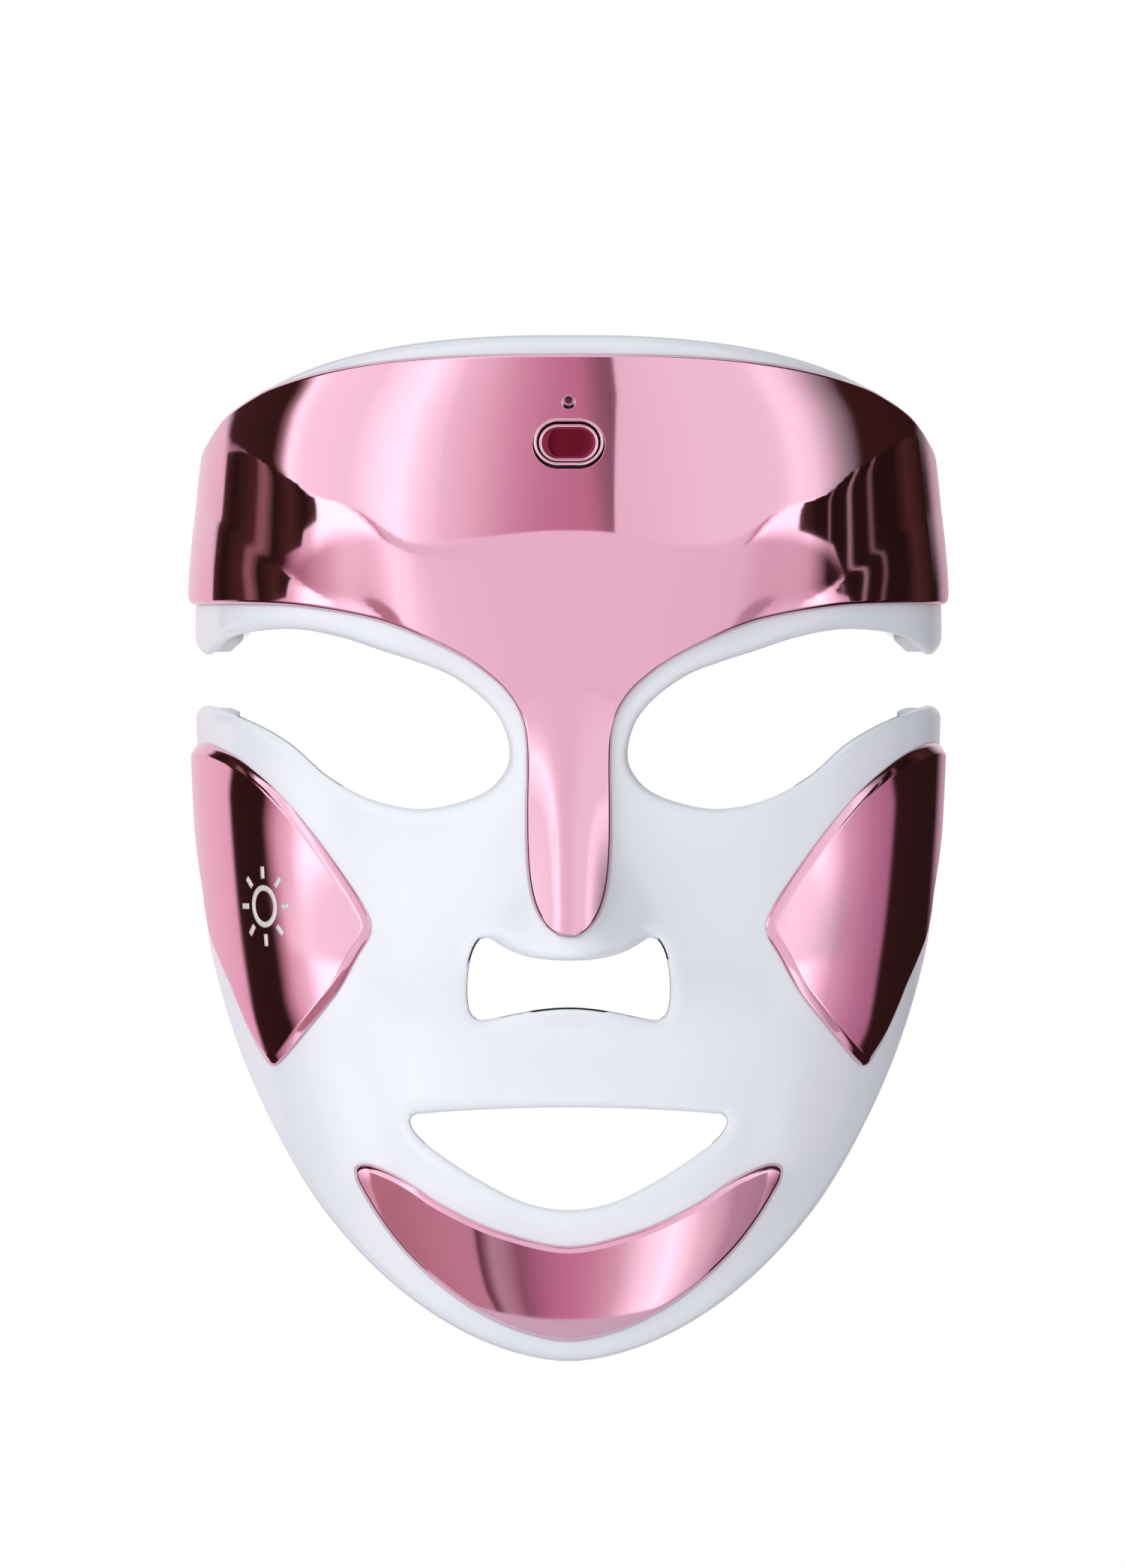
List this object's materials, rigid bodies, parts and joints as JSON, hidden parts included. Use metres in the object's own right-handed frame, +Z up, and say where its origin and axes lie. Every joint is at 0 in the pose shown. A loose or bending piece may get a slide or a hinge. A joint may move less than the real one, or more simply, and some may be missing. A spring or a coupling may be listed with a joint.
{
  "type": "light therapy face mask",
  "caption": "Rigid full-face light therapy mask with mirror rose covers, open eye slots, nose and mouth openings, and a forehead power button.",
  "frame": {"origin": "nose-bridge seat on the inside of the mask, at eye level", "axes": "+Z up to the forehead, -Y out of the front of the mask, +Y towards the wearer, +X to the right seen from the front"},
  "size_m": [0.1796, 0.1007, 0.2353],
  "materials": {
    "white_shell": "gloss",
    "rose_mirror": "mirror metallised",
    "clear_panel": "clear gloss",
    "seal": "satin",
    "light_board": "satin",
    "light": "gloss",
    "flat_cable": "gloss",
    "circuit_board": "satin",
    "chip": "matte",
    "battery_foil": "satin",
    "socket_metal": "brushed",
    "bright_chrome": "mirror metallised",
    "clear_pin": "clear gloss"
  },
  "bodies": {
    "mask": {"face_shell": "white_shell", "forehead_cover": "rose_mirror", "cheek_cover_left": "rose_mirror", "cheek_cover_right": "rose_mirror", "chin_cover": "rose_mirror", "inner_lens": "clear_panel", "edge_gasket_top": "seal", "edge_gasket_jaw": "seal", "eye_rim_left": "seal", "eye_rim_right": "seal", "nose_rim": "seal", "mouth_rim": "seal", "led_board_forehead": "light_board", "led_board_cheek_left": "light_board", "led_board_cheek_right": "light_board", "led_board_lip": "light_board", "led_board_chin": "light_board", "leds_forehead": "light", "leds_cheek_left": "light", "leds_cheek_right": "light", "leds_lip": "light", "leds_chin": "light", "bridge_flex": "flat_cable", "cheek_flex_left": "flat_cable", "cheek_flex_right": "flat_cable", "main_board": "circuit_board", "controller_chip": "chip", "tactile_switch": "chip", "battery_cell": "battery_foil", "charging_socket": "socket_metal", "button_bezel": "bright_chrome", "status_light_rim": "bright_chrome", "status_light_pipe": "clear_pin", "status_led": "light", "strap_lug_left": "white_shell", "strap_lug_right": "white_shell"},
    "button": {"power_button": "rose_mirror"}
  },
  "joints": [
    {"name": "button_press", "type": "slide", "parent": "mask", "child": "button", "axis": [0, 0.9681, -0.2506], "range_m": [0, 0.0008], "stiffness_N_per_m": 2000}
  ]
}
